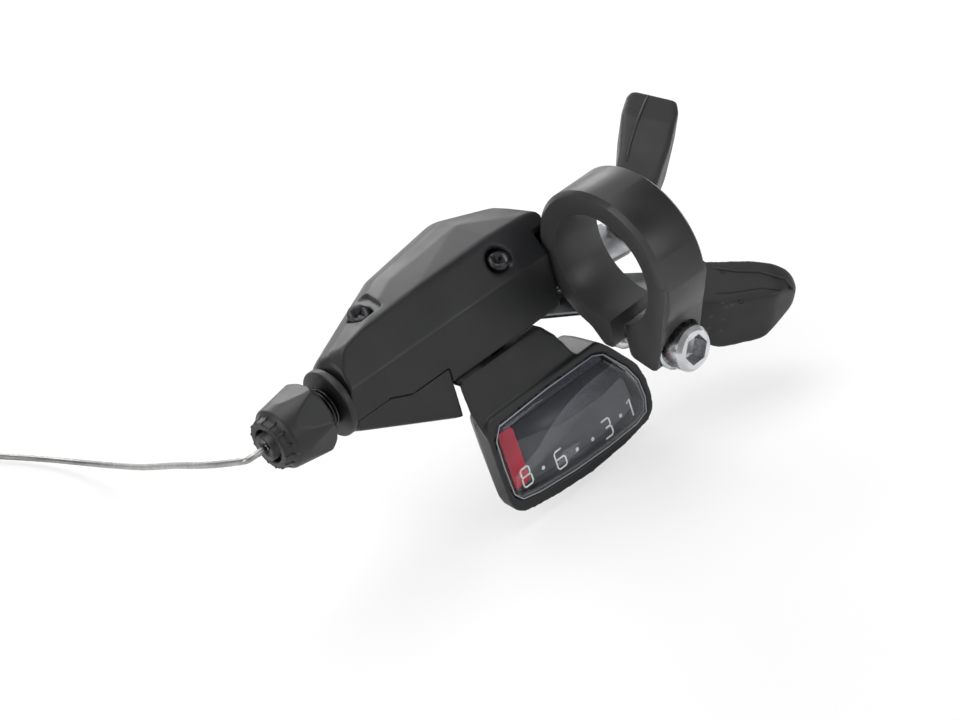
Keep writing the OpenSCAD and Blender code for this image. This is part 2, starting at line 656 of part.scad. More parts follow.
// The housing's outer form, or with d > 0 its hollow, whose top is at height top
module housing_form(d, top) {
    face = rounded(housing_out, 2);
    levels = [[top, 0, face], [dial_h - 1, 0.6, face], [clip_h, 0, rounded(clip_out, 2)],
              [-window_depth + d, 0, rounded(rear_out, 2)]];
    hull() for (l = levels) translate([0, 0, l[0] - 0.01]) linear_extrude(0.01) polygon(inset(l[2], l[1] + d));
}
module indicator_housing() {
    color("#1c1d20") difference() {
        union() {
            window() {
                housing_form(0, 0);
                hull() {
                    translate([0, 0, -0.6]) linear_extrude(0.01) polygon(rounded(neck_out, 1.2));
                    translate([0, 0, -neck_depth]) linear_extrude(0.01)
                        polygon([for (p = rounded(neck_out, 1.2)) [max(p[0], -28.4), p[1]]]);
                }
            }
            mech() plate(rounded([[-33, 6.6], [-27, 6.6], [-27, 18], [-33, 18]], 1), tab_m, 1.5);
        }
        window() {
            translate([0, 0, -1]) linear_extrude(4) polygon(inset(rounded(lens_out, 1.6), -0.12));
            translate([0, 0, -3]) linear_extrude(4) polygon(inset(rounded(lens_out, 1.6), 0.5));
            housing_form(1.2, -1.8);
            translate([-24.2, -22.5, -5.4]) cube([3.4, 20, 3]);
        }
        mech() translate([-34, 0, body_low - 0.05]) cube([30, 30, 10]);
        mech() hole([-30, 15.5], 0, cover_screw_r + run, 30);
    }
}
module dial_plate() {
    color("#23262f") window() difference() {
        translate([0, 0, dial_h - 0.7]) linear_extrude(0.7) polygon(inset(rounded(lens_out, 1.6), 1.05));
        translate([-60, rail_q - 1.6, -8]) cube([100, 20, 10]);
    }
}
module indicator_lens() {
    color("#7f8fa6", 0.35) window() hull() {
        translate([0, 0, -0.95]) linear_extrude(0.9) polygon(rounded(lens_out, 1.6));
        translate([0, 0, 0.5]) linear_extrude(0.01) polygon(inset(rounded(lens_out, 1.6), 1.6));
    }
}
module needle() {
    left = needle_u - needle_w / 2;
    color("#c8201c") window() difference() {
        union() {
            translate([0, 0, dial_h + 0.3]) linear_extrude(0.8) polygon([[left, -36.9],
                [left + needle_w, -36.9], [left + needle_w, -25.8], [left + clip_w, -23.3],
                [left, -23.3]]);
            translate([left, rail_q - 1.2, wire_h - 0.8]) cube([clip_w, 2.4, 4.2]);
        }
        translate([left - 1, rail_q, rail_h]) rotate([0, 90, 0]) cylinder(h = 6, r = rail_r + run, $fn = 24);
        translate([left - 1, rail_q, wire_h]) rotate([0, 90, 0]) cylinder(h = 6, r = wire_r + 0.2, $fn = 24);
    }
}
module needle_rail() {
    color("#b9bcc0") window() translate([rail_ends[0], rail_q, rail_h])
        rotate([0, 90, 0]) cylinder(h = rail_ends[1] - rail_ends[0], r = rail_r, $fn = 24);
}
module needle_spring() {
    color("#c6c8cb") window() translate([needle_u - needle_w / 2 + clip_w + 0.1, rail_q, rail_h])
        rotate([0, 90, 0]) spring(0.85, 0.15, 14, 25.6, 8);
}
module indicator_wire() { color("#c6c8cb") translate([0, body_shift, 0]) tube(wire_path, wire_r, 6); }
module indicator_screw() {
    color("#6b6e73") mech() {
        hole([-30, 15.5], tab_m - 1.5 - seat, 2, 1.4);
        hole([-30, 15.5], base_m, cover_screw_r, base_m - tab_m + 1.5 + seat);
    }
}
module inner_cable() { color("#b9bcc0") tube(cable_path, cable_r, 8); }
module cable_coil() {
    color("#b9bcc0") translate([coil_at[0], coil_at[1], floor_z]) rotate_extrude()
        translate([coil_r - coil_half, 0]) square([2 * coil_half, 2 * coil_half]);
}

clamp_band();
clamp_bolt();
clamp_washer();
clamp_nut();
clamp_screw();
base_plate();
top_plate();
plate_pillar();
main_axle();
axle_washer();
axle_nut();
cable_reel();
positioning_ratchet();
winding_ratchet();
cable_head();
reel_spring();
positioning_pawl();
positioning_pawl_pin();
positioning_pawl_spring();
winding_pawl();
winding_pawl_pin();
winding_pawl_spring();
thumb_lever_plate();
thumb_lever_pad();
thumb_lever_spring();
release_lever_plate();
release_lever_pad();
release_lever_spring();
upper_cover();
lower_cover();
cover_screws();
adjuster_insert();
adjuster_knob();
adjuster_stem();
adjuster_spring();
indicator_housing();
dial_plate();
indicator_lens();
needle();
needle_rail();
needle_spring();
indicator_wire();
indicator_screw();
inner_cable();
cable_coil();
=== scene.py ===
"""The looks of a bicycle trigger shifter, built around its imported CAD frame. Lengths are in metres."""

import json
import math

import bpy
from mathutils import Matrix, Vector
from mathutils.bvhtree import BVHTree


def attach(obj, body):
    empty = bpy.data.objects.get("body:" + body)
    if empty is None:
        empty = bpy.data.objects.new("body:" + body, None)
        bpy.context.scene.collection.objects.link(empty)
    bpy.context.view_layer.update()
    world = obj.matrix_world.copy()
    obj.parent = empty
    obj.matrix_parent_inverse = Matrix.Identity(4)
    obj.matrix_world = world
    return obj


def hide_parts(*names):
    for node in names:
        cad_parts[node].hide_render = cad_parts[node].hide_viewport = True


MM = 0.001
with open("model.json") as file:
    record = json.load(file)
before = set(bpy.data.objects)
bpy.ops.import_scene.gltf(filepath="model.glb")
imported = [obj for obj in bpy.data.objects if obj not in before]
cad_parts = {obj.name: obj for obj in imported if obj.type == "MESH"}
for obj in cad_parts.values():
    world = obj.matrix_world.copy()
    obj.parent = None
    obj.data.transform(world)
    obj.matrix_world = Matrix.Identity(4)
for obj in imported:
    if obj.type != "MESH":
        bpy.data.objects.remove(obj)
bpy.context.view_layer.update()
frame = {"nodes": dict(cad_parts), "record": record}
nodes = frame["nodes"]
scene = bpy.context.scene


def mm(points):
    """Points given in millimetres, in metres."""
    return [Vector(p) * MM for p in points]


# Camera, at the photograph's viewing angle
CAMERA_AT = Vector((-239.5, -288.0, 207.0)) * MM
CAMERA_RIGHT = Vector((0.705, -0.669, -0.236)).normalized()
CAMERA_UP = Vector((0.505, 0.240, 0.829))
CAMERA_LENS = 90.56

camera_back = CAMERA_RIGHT.cross(CAMERA_UP).normalized()
camera_up = camera_back.cross(CAMERA_RIGHT)
camera = bpy.data.objects.new("camera", bpy.data.cameras.new("camera"))
camera.data.lens = CAMERA_LENS
camera.data.sensor_width = 36
camera.data.clip_start = 0.01
camera.data.clip_end = 20
camera.matrix_world = Matrix.Translation(CAMERA_AT) @ Matrix(
    (CAMERA_RIGHT, camera_up, camera_back)
).transposed().to_4x4()
scene.collection.objects.link(camera)
scene.camera = camera


def piece(name, verts, faces, body, slot, mat=None, smooth=True):
    """A new mesh piece that rides on a CAD body."""
    mesh = bpy.data.meshes.new(name)
    mesh.from_pydata([tuple(v) for v in verts], [], faces)
    mesh.validate()
    mesh.update()
    if smooth:
        mesh.shade_smooth()
    obj = bpy.data.objects.new(name, mesh)
    scene.collection.objects.link(obj)
    if mat:
        mesh.materials.append(mat)
    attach(obj, body)
    return obj


def frames_along(path):
    """A tangent and a twist-free normal at each point of a path."""
    out, normal = [], Vector((0.31, 0.17, 0.94))
    for i, _ in enumerate(path):
        tangent = (path[min(i + 1, len(path) - 1)] - path[max(i - 1, 0)]).normalized()
        normal = (normal - normal.dot(tangent) * tangent).normalized()
        out.append((tangent, normal))
    return out


def resampled(path, step):
    """Points evenly spaced along a path."""
    out, left = [path[0]], step
    for a, b in zip(path, path[1:]):
        length = (b - a).length
        while left <= length:
            out.append(a.lerp(b, left / length))
            left += step
        left -= length
    if (out[-1] - path[-1]).length > step * 0.3:
        out.append(path[-1])
    return out


def smoothed(path, steps=12):
    """A Catmull-Rom curve through the points."""
    out = []
    for i in range(len(path) - 1):
        p0, p1 = path[max(i - 1, 0)], path[i]
        p2, p3 = path[i + 1], path[min(i + 2, len(path) - 1)]
        for k in range(steps):
            t = k / steps
            out.append(0.5 * (2 * p1 + (p2 - p0) * t + (2 * p0 - 5 * p1 + 4 * p2 - p3) * t**2
                              + (3 * p1 - p0 - 3 * p2 + p3) * t**3))
    return out + [path[-1]]


def strand_tube(path, radius, sides=12, lobes=6, depth=0.14, lay=0.008):
    """A tube along a path whose surface shows the strands of a wire rope."""
    verts, faces, along = [], [], 0.0
    for i, (p, (tangent, normal)) in enumerate(zip(path, frames_along(path))):
        along += (p - path[i - 1]).length if i else 0
        across = tangent.cross(normal)
        turn = 2 * math.pi * along / lay
        for k in range(sides):
            a = 2 * math.pi * k / sides
            groove = 0.5 - 0.5 * math.cos(lobes * (a - turn))
            r = radius * (1 + depth * 0.5 - depth * groove)
            verts.append(p + r * (math.cos(a) * normal + math.sin(a) * across))
        if i:
            b = (i - 1) * sides
            faces += [(b + k, b + (k + 1) % sides, b + sides + (k + 1) % sides, b + sides + k)
                      for k in range(sides)]
    faces.append(tuple(range(sides - 1, -1, -1)))
    faces.append(tuple(range(len(verts) - sides, len(verts))))
    return verts, faces


# The inner cable: through the adjuster, down to the surface and into its coil
CABLE_D = 1.2 * MM
INSIDE = mm([(-17, 17.6, -2.2), (-30, 17.6, -2.2), (-45, 17.6, -2.2), (-60, 17.6, -2.2), (-70.6, 17.6, -2.2)])
ROUTE = mm([(-70.6, 17.6, -2.2), (-73, 17.6, -2.2), (-75.5, 18.4, -2.5), (-77, 21, -3.2),
            (-77, 27, -5.2), (-75, 36, -9), (-72, 48, -15), (-69, 62, -22), (-66, 76, -29),
            (-63, 90, -35), (-62, 102, -39.6), (-62, 110, -41.6), (-63, 117, -42.4),
            (-66, 124, -42.4), (-70, 133, -42.4), (-74.6, 143.5, -42.4)])
COIL_AT = Vector((-88.5, 150, -43)) * MM
COIL_R = 12 * MM
COIL_ROWS = 5
COIL_ENTRY = math.radians(5)
CABLE_LENGTH = 1.99


def coil_points(length):
    """Turns that lie beside and on each other, from the outer bottom one inwards and up."""
    out, done, turn, steps = [], 0.0, 0, 40
    cells = []
    for row in range(COIL_ROWS + 1):
        columns = range(COIL_ROWS) if row % 2 == 0 else range(COIL_ROWS - 1, -1, -1)
        cells += [(2 - c, row) for c in columns]
    last = None
    while done < length:
        (c0, r0), (c1, r1) = cells[turn], cells[turn + 1]
        for k in range(steps):
            share = max(0.0, (k / steps - 0.8) / 0.2)
            share = share * share * (3 - 2 * share)
            radius = COIL_R + (c0 + (c1 - c0) * share) * CABLE_D
            height = (0.5 + r0 + (r1 - r0) * share) * CABLE_D
            a = COIL_ENTRY + 2 * math.pi * k / steps
            p = COIL_AT + Vector((radius * math.cos(a), radius * math.sin(a), height))
            if last is not None:
                done += (p - last).length
            if done >= length:
                break
            out.append(p)
            last = p
        turn += 1
    return out


route = resampled(smoothed(ROUTE), 2 * MM)
for _ in range(60):
    relaxed = [(a + 2 * b + c) / 4 for a, b, c in zip(route[2:], route[3:], route[4:-1])]
    route = route[:3] + relaxed + route[-2:]
outer_r = COIL_R + 2 * CABLE_D
coil_start = COIL_AT + Vector((outer_r * math.cos(COIL_ENTRY), outer_r * math.sin(COIL_ENTRY), CABLE_D / 2))
# The last stretch swings out a little before it meets the coil
swing = (route[-1] - COIL_AT).normalized() * MM * 0.35
lead_in = [route[-1].lerp(coil_start, t / 4) + swing * math.sin(math.pi * t / 4) for t in range(1, 4)]
lead = route + lead_in
lead_length = sum((b - a).length for a, b in zip(lead, lead[1:])) + (coil_start - lead[-1]).length
centre = lead + coil_points(CABLE_LENGTH - lead_length)
centre = resampled(centre, 0.9 * MM)
cable = piece("cable_lead", *strand_tube(centre, CABLE_D / 2), "body", "cable_steel")
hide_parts("inner_cable", "cable_coil")
inside = piece("cable_inside", *strand_tube(resampled(INSIDE, 0.9 * MM), CABLE_D / 2), "body", "cable_steel")
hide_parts("inner_cable")
CAP_POINTS = 9
cap_path = centre[-CAP_POINTS:] + [2 * centre[-1] - centre[-2]]
cap = piece("cable_end_cap", *strand_tube(cap_path, 0.8 * MM, 16, 4, 0.12, 0.05), "body", "zinc_steel")


def band(name, angle, width, thick):
    """A flat tie round the coil's bundle at an angle of the coil."""
    out = Vector((math.cos(angle), math.sin(angle), 0))
    along = Vector((-out.y, out.x, 0))
    half_r = (COIL_ROWS / 2 + 0.1) * CABLE_D
    half_z = (COIL_ROWS / 2 + 0.1) * CABLE_D
    middle = COIL_AT + out * COIL_R + Vector((0, 0, COIL_ROWS / 2 * CABLE_D))
    count, verts, faces = 40, [], []
    for i in range(count):
        t = 2 * math.pi * i / count
        shape = Vector((abs(math.cos(t)) ** 0.5 * math.copysign(1, math.cos(t)),
                        abs(math.sin(t)) ** 0.5 * math.copysign(1, math.sin(t))))
        for grow, side in ((0, -1), (thick, -1), (thick, 1), (0, 1)):
            lift = Vector((0, 0, shape.y * (half_z + grow)))
            verts.append(middle + out * (shape.x * (half_r + grow)) + lift + along * (side * width / 2))
    for i in range(count):
        m, n = i * 4, (i + 1) % count * 4
        faces += [(m + k, m + (k + 1) % 4, n + (k + 1) % 4, n + k) for k in range(4)]
    return piece(name, verts, faces, "body", "lever_plastic", smooth=False)


tie = band("cable_tie", math.radians(200), 3 * MM, 0.4 * MM)


# Materials
def node_tree(name):
    mat = bpy.data.materials.new(name)
    mat.use_nodes = True
    tree = mat.node_tree
    shader = tree.nodes["Principled BSDF"]
    coords = tree.nodes.new("ShaderNodeTexCoord").outputs["Object"]
    return mat, tree, shader, coords


def noise(tree, coords, scale, detail=3, stretch=None):
    if stretch:
        mapping = tree.nodes.new("ShaderNodeMapping")
        mapping.inputs["Scale"].default_value = stretch
        tree.links.new(coords, mapping.inputs["Vector"])
        coords = mapping.outputs["Vector"]
    tex = tree.nodes.new("ShaderNodeTexNoise")
    tex.inputs["Scale"].default_value = scale
    tex.inputs["Detail"].default_value = detail
    tree.links.new(coords, tex.inputs["Vector"])
    return tex.outputs["Fac"]


def ranged(tree, value, low, high, start=0.35, end=0.65):
    node = tree.nodes.new("ShaderNodeMapRange")
    node.inputs["From Min"].default_value = start
    node.inputs["From Max"].default_value = end
    node.inputs["To Min"].default_value = low
    node.inputs["To Max"].default_value = high
    tree.links.new(value, node.inputs["Value"])
    return node.outputs["Result"]


def mixed(tree, factor, a, b):
    node = tree.nodes.new("ShaderNodeMix")
    node.data_type = "RGBA"
    tree.links.new(factor, node.inputs["Factor"])
    for socket, colour in ((node.inputs[6], a), (node.inputs[7], b)):
        if hasattr(colour, "is_linked"):
            tree.links.new(colour, socket)
        else:
            socket.default_value = (*colour, 1)
    return node.outputs[2]


def bumped(tree, shader, *layers):
    """Bump layers of (height, strength, distance)."""
    normal = None
    for height, strength, distance in layers:
        node = tree.nodes.new("ShaderNodeBump")
        node.inputs["Strength"].default_value = strength
        node.inputs["Distance"].default_value = distance
        tree.links.new(height, node.inputs["Height"])
        if normal:
            tree.links.new(normal, node.inputs["Normal"])
        normal = node.outputs["Normal"]
    tree.links.new(normal, shader.inputs["Normal"])


def worn_edges(tree, colour, pale, amount=0.5):
    """The colour, paler where an edge is rubbed."""
    geometry = tree.nodes.new("ShaderNodeNewGeometry")
    edge = ranged(tree, geometry.outputs["Pointiness"], 0, amount, 0.53, 0.62)
    return mixed(tree, edge, colour, pale)


def moulded(name, colour, pale, rough, grain=2600, grain_depth=0.10, specular=0.35):
    """Moulded plastic with a fine grain, faint mottling and rubbed edges."""
    mat, tree, shader, coords = node_tree(name)
    mottle = ranged(tree, noise(tree, coords, 160, 4), 0, 1)
    base = mixed(tree, mottle, colour, [c * 1.25 for c in colour])
    tree.links.new(worn_edges(tree, base, pale), shader.inputs["Base Color"])
    patches = noise(tree, coords, 90, 5)
    tree.links.new(ranged(tree, patches, rough - 0.05, rough + 0.07), shader.inputs["Roughness"])
    shader.inputs["Specular IOR Level"].default_value = specular
    bumped(tree, shader, (noise(tree, coords, grain, 2), grain_depth, 0.00005),
           (noise(tree, coords, 60, 2), 0.03, 0.0002))
    return mat


def metal(name, colour, rough, stretch=(1, 1, 1), streak=500, depth=0.05, patina=None):
    """Bare or plated metal with fine streaks and a cloudy finish."""
    mat, tree, shader, coords = node_tree(name)
    cloud = ranged(tree, noise(tree, coords, 220, 5), 0, 1)
    base = mixed(tree, cloud, colour, patina or [c * 0.72 for c in colour])
    tree.links.new(base, shader.inputs["Base Color"])
    shader.inputs["Metallic"].default_value = 1
    streaks = noise(tree, coords, streak, 4, stretch)
    tree.links.new(ranged(tree, streaks, rough - 0.07, rough + 0.10), shader.inputs["Roughness"])
    bumped(tree, shader, (streaks, depth, 0.00006))
    return mat


def painted(name, colour, pale, rough):
    """Satin black anodised or painted alloy with a fine orange peel."""
    mat, tree, shader, coords = node_tree(name)
    base = mixed(tree, ranged(tree, noise(tree, coords, 240, 4), 0, 1), colour, [c * 1.3 for c in colour])
    tree.links.new(worn_edges(tree, base, pale, 0.7), shader.inputs["Base Color"])
    patches = noise(tree, coords, 130, 4)
    tree.links.new(ranged(tree, patches, rough - 0.05, rough + 0.06), shader.inputs["Roughness"])
    shader.inputs["Specular IOR Level"].default_value = 0.4
    bumped(tree, shader, (noise(tree, coords, 1500, 3), 0.07, 0.00005),
           (noise(tree, coords, 900, 3, (1, 0.08, 0.08)), 0.04, 0.00004))
    return mat


def clear_window():
    """Clear moulded plastic: what lies behind shows through a glossy skin."""
    mat, tree, shader, coords = node_tree("clear_plastic")
    shader.inputs["Base Color"].default_value = (0.85, 0.87, 0.90, 1)
    shader.inputs["Metallic"].default_value = 1
    tree.links.new(ranged(tree, noise(tree, coords, 150, 4), 0.04, 0.09), shader.inputs["Roughness"])
    bumped(tree, shader, (noise(tree, coords, 70, 2), 0.02, 0.0002))
    clear = tree.nodes.new("ShaderNodeBsdfTransparent")
    clear.inputs["Color"].default_value = (0.96, 0.97, 0.98, 1)
    skin = tree.nodes.new("ShaderNodeLayerWeight")
    skin.inputs["Blend"].default_value = 0.5
    share = ranged(tree, skin.outputs["Facing"], 0.02, 0.5, 0.3, 1)
    mix = tree.nodes.new("ShaderNodeMixShader")
    tree.links.new(share, mix.inputs[0])
    tree.links.new(clear.outputs[0], mix.inputs[1])
    tree.links.new(shader.outputs[0], mix.inputs[2])
    tree.links.new(mix.outputs[0], tree.nodes["Material Output"].inputs["Surface"])
    return mat


def dial_print():
    """A blue-black printed field that fades towards the digits."""
    mat, tree, shader, coords = node_tree("dial_print")
    split = tree.nodes.new("ShaderNodeSeparateXYZ")
    tree.links.new(coords, split.inputs["Vector"])
    height = ranged(tree, split.outputs["Z"], 0, 1, -0.0335, -0.0225)
    field = mixed(tree, height, (0.035, 0.042, 0.055), (0.008, 0.010, 0.028))
    speck = ranged(tree, noise(tree, coords, 1800, 2), 0, 0.12)
    tree.links.new(mixed(tree, speck, field, (0.12, 0.13, 0.16)), shader.inputs["Base Color"])
    tree.links.new(ranged(tree, noise(tree, coords, 300, 3), 0.32, 0.45), shader.inputs["Roughness"])
    bumped(tree, shader, (noise(tree, coords, 900, 2), 0.03, 0.00005))
    return mat


BLACK, EDGE = (0.009, 0.0093, 0.0105), (0.05, 0.05, 0.053)
materials = {
    "black_alloy": painted("black_alloy", (0.008, 0.008, 0.0085), (0.05, 0.05, 0.05), 0.38),
    "zinc_steel": metal("zinc_steel", (0.66, 0.67, 0.69), 0.27),
    "dark_steel": metal("dark_steel", (0.30, 0.31, 0.32), 0.38),
    "spring_steel": metal("spring_steel", (0.50, 0.50, 0.51), 0.30, (1, 1, 1), 900),
    "cover_plastic": moulded("cover_plastic", BLACK, EDGE, 0.40),
    "lever_plastic": moulded("lever_plastic", (0.013, 0.0132, 0.0136), (0.055, 0.055, 0.055), 0.5,
                             2200, 0.14),
    "knob_plastic": moulded("knob_plastic", (0.013, 0.0133, 0.014), (0.06, 0.06, 0.06), 0.45, 2400, 0.14),
    "reel_plastic": moulded("reel_plastic", (0.03, 0.031, 0.033), (0.08, 0.08, 0.08), 0.5),
    "window_plastic": clear_window(),
    "dial_plastic": dial_print(),
    "needle_red": moulded("needle_red", (0.74, 0.03, 0.07), (0.80, 0.08, 0.10), 0.35, 900, 0.03),
    "cable_steel": metal("cable_steel", (0.33, 0.33, 0.32), 0.36, (1, 1, 1), 1400, 0.12),
}
screw_black = metal("screw_black", (0.055, 0.055, 0.058), 0.40, patina=(0.03, 0.03, 0.032))
digit_white = moulded("digit_white", (0.80, 0.80, 0.78), (0.85, 0.85, 0.85), 0.5, 900, 0.03)
band_grey = moulded("band_grey", (0.085, 0.09, 0.095), (0.12, 0.12, 0.12), 0.42, 1200, 0.04)
# Pale painted highlight for the lit edge of the lens
rim_painted_highlight = moulded("rim_painted_highlight", (0.26, 0.27, 0.29), (0.4, 0.4, 0.4), 0.3, 900, 0.03)
# Near-black painted shade for the thumb pad's groove and pits, darker than the lever plastic
recess_painted_shade = moulded("recess_painted_shade", (0.006, 0.006, 0.006), (0.02, 0.02, 0.02), 0.6)

own_material = {"cover_screws": screw_black, "adjuster_stem": screw_black, "adjuster_spring": screw_black}
BEVELS = {"clamp_band": 0.5, "adjuster_insert": 0.3, "clamp_bolt": 0.25, "needle": 0.15, "base_plate": 0.2,
          "axle_nut": 0.2}
# Moulded parts whose corners are rounded: size of a cell and rounds of smoothing
MOULDED = {"thumb_lever_pad": (0.32, 60), "release_lever_pad": (0.3, 40), "upper_cover": (0.27, 8),
           "lower_cover": (0.27, 7), "indicator_housing": (0.25, 10), "adjuster_knob": (0.2, 8)}
slots = {part["node"]: part["material_slot"] for part in frame["record"]["subparts"]}
for name, obj in nodes.items():
    obj.data.materials.clear()
    obj.data.materials.append(own_material.get(name, materials[slots[name]]))
    for polygon in obj.data.polygons:
        polygon.material_index = 0
        polygon.use_smooth = True
    weld = obj.modifiers.new("weld", "WELD")
    weld.merge_threshold = 0.002 * MM
    if name in MOULDED:
        cell, rounds = MOULDED[name]
        remesh = obj.modifiers.new("remesh", "REMESH")
        remesh.mode = "VOXEL"
        remesh.voxel_size = cell * MM
        remesh.use_smooth_shade = True
        relax = obj.modifiers.new("relax", "SMOOTH")
        relax.factor = 0.5
        relax.iterations = rounds
    else:
        obj.data.set_sharp_from_angle(angle=math.radians(28))
    if name in BEVELS:
        bevel = obj.modifiers.new("bevel", "BEVEL")
        bevel.width = BEVELS[name] * MM
        bevel.segments = 3
        bevel.limit_method = "ANGLE"
        bevel.angle_limit = math.radians(32)
        bevel.harden_normals = False
for obj in (cable, inside):
    obj.data.materials.append(materials["cable_steel"])
cap.data.materials.append(materials["zinc_steel"])
tie.data.materials.append(materials["lever_plastic"])

# Gear window: marks and printed band on the dial. Places are (along the bar, up the window) in mm.
LEAN = math.radians(5)
WINDOW_Y = 12.05
DIAL_H = -3.2
MARK_H = -1.02
LENS_OUT = [(-28.8, -38), (-24.7, -39), (-15.8, -40), (-6.6, -40.4), (1.2, -40.2), (4.3, -39.2), (5.1, -36.4),
            (4.7, -32.3), (2.9, -28.5), (-1.4, -22.9), (-3.8, -21.8), (-16, -21.6), (-28.7, -22.1),
            (-30.3, -24.4), (-30.5, -30), (-30.3, -36.1)]


def on_window(x, q, h):
    """A point of the gear window's frame, in the row frame."""
    y = WINDOW_Y + q * math.sin(LEAN) - h * math.cos(LEAN)
    return Vector((x, y, q * math.cos(LEAN) + h * math.sin(LEAN))) * MM


def ribbon(name, lines, width, thick, h, mat, slot="dial_plastic", sides=8, body="body"):
    """Strokes of a rounded section lying on the window at height h."""
    verts, faces = [], []
    for line, closed in lines:
        count, first = len(line), len(verts)
        for i, (x, q) in enumerate(line):
            a = line[(i - 1) % count] if closed or i else line[0]
            b = line[(i + 1) % count] if closed or i < count - 1 else line[-1]
            d = Vector((b[0] - a[0], b[1] - a[1])).normalized()
            for k in range(sides):
                t = 2 * math.pi * k / sides
                s, up = width / 2 * math.cos(t), thick / 2 * math.sin(t)
                verts.append(on_window(x - d.y * s, q + d.x * s, h + up))
        for i in range(count if closed else count - 1):
            m, n = first + i * sides, first + ((i + 1) % count) * sides
            faces += [(m + k, m + (k + 1) % sides, n + (k + 1) % sides, n + k) for k in range(sides)]
        if not closed:
            faces += [tuple(range(first + sides - 1, first - 1, -1)),
                      tuple(range(first + (count - 1) * sides, first + count * sides))]
    return piece(name, verts, faces, body, slot, mat)


STROKES = {
    "8": [([(0.35, 2.0), (0.1, 2.3), (0.1, 3.35), (0.4, 3.7), (1.9, 3.7), (2.2, 3.35), (2.2, 2.3),
            (1.95, 2.0)], True),
          ([(0.35, 2.0), (0.0, 1.7), (0.0, 0.4), (0.35, 0.0), (1.95, 0.0), (2.3, 0.4), (2.3, 1.7),
            (1.95, 2.0)], True)],
    "6": [([(1.9, 3.7), (0.4, 3.7), (0.0, 3.3), (0.0, 0.4), (0.35, 0.0), (1.95, 0.0), (2.3, 0.4), (2.3, 1.6),
            (1.95, 2.0), (0.2, 2.0)], False)],
    "3": [([(0.2, 3.7), (1.9, 3.7), (2.2, 3.35), (2.2, 2.3), (1.9, 2.0), (0.9, 2.0)], False),
          ([(1.9, 2.0), (2.3, 1.6), (2.3, 0.4), (1.95, 0.0), (0.2, 0.0)], False)],
    "1": [([(0.5, 3.1), (1.3, 3.7), (1.3, 0.0)], False)],
}
MARKS = [("8", -25.7, -35.1), ("6", -17.3, -36.5), ("3", -5.1, -37.4), ("1", 1.6, -36.9)]
DOTS = [(-21.6, -35.8), (-13.1, -37.1), (-9.0, -37.4), (-1.2, -37.0)]
for digit, x, q in MARKS:
    lines = [([(x - 1.15 + px, q - 1.85 + pq) for px, pq in line], closed) for line, closed in STROKES[digit]]
    ribbon("mark_" + digit, lines, 0.38, 0.1, MARK_H, digit_white)
for i, (x, q) in enumerate(DOTS):
    circle = [(x + 0.2 * math.cos(t * math.pi / 4), q + 0.2 * math.sin(t * math.pi / 4)) for t in range(8)]
    ribbon(f"dot_{i + 1}", [(circle, True)], 0.46, 0.1, MARK_H, digit_white)

# A grey printed band behind the digits, and a pale strip painted along the lens's edge as its highlight
BAND = [(-29.3, -35.8), (-24.6, -37.8), (-15.8, -38.8), (-6.6, -39.2), (0.9, -39.0), (3.3, -38.2),
        (3.9, -36.2),
        (3.6, -32.7), (2.9, -31.5), (-1.9, -32.2), (-12.6, -32.0), (-23.4, -29.1), (-29.2, -28.0)]


def plate_on(name, outline, top, under, mat):
    """A thin printed layer of the window, between two heights."""
    verts = [on_window(x, q, h) for h in (top, under) for x, q in outline]
    count = len(outline)
    faces = [tuple(range(count)), tuple(range(2 * count - 1, count - 1, -1))]
    faces += [(k, k + count, (k + 1) % count + count, (k + 1) % count) for k in range(count)]
    piece(name, verts, faces, "body", "dial_plastic", mat, smooth=False)


plate_on("dial_band", BAND, DIAL_H + 0.06, DIAL_H - 0.02, band_grey)
MASK = [(-29.2, -22.6), (-29.9, -24.0), (-28.3, -24.2), (-5.0, -24.2), (-1.5, -24.4), (-1.9, -23.0),
        (-3.9, -22.3),
        (-16, -22.1)]
plate_on("window_mask", MASK, MARK_H + 0.05, MARK_H - 0.05, materials["dial_plastic"])
middle_x = sum(x for x, _ in LENS_OUT) / len(LENS_OUT)
middle_q = sum(q for _, q in LENS_OUT) / len(LENS_OUT)
rim = [(x + (middle_x - x) * 0.012, q + (middle_q - q) * 0.02) for x, q in LENS_OUT]
# The strip's pale colour is a painted highlight along the lens's lit edge
ribbon("lens_rim_highlight", [(rim, True)], 0.24, 0.16, 0.02, rim_painted_highlight, "window_plastic")


# Details placed by the photograph, each lying on the surface that carries it. Places are pixels.
THUMB_RIDGE = [(712, 268), (735, 271), (760, 272), (785, 279), (796, 293)]
THUMB_GROOVE = [(714, 294), (735, 292), (760, 288), (785, 290)]
THUMB_PITS = [(722.7, 271.6), (741.2, 302.1)]
RELEASE_CREASE = [(652, 88), (644, 105), (636, 125), (630, 145), (626, 163)]


def seen(px, py):
    """The direction from the camera through a pixel of the 960 by 720 picture."""
    x, y = (px - 480) / 960 * 36 / CAMERA_LENS, (360 - py) / 960 * 36 / CAMERA_LENS
    return (CAMERA_RIGHT * x + camera_up * y - camera_back).normalized()


trees = {}


def hit(node, px, py):
    """Where the sight line through a pixel first meets a node, and the surface's normal there."""
    if node not in trees:
        mesh = nodes[node].data
        trees[node] = BVHTree.FromPolygons([v.co for v in mesh.vertices], [p.vertices for p in mesh.polygons])
    place, normal, _, _ = trees[node].ray_cast(CAMERA_AT, seen(px, py))
    return place, normal


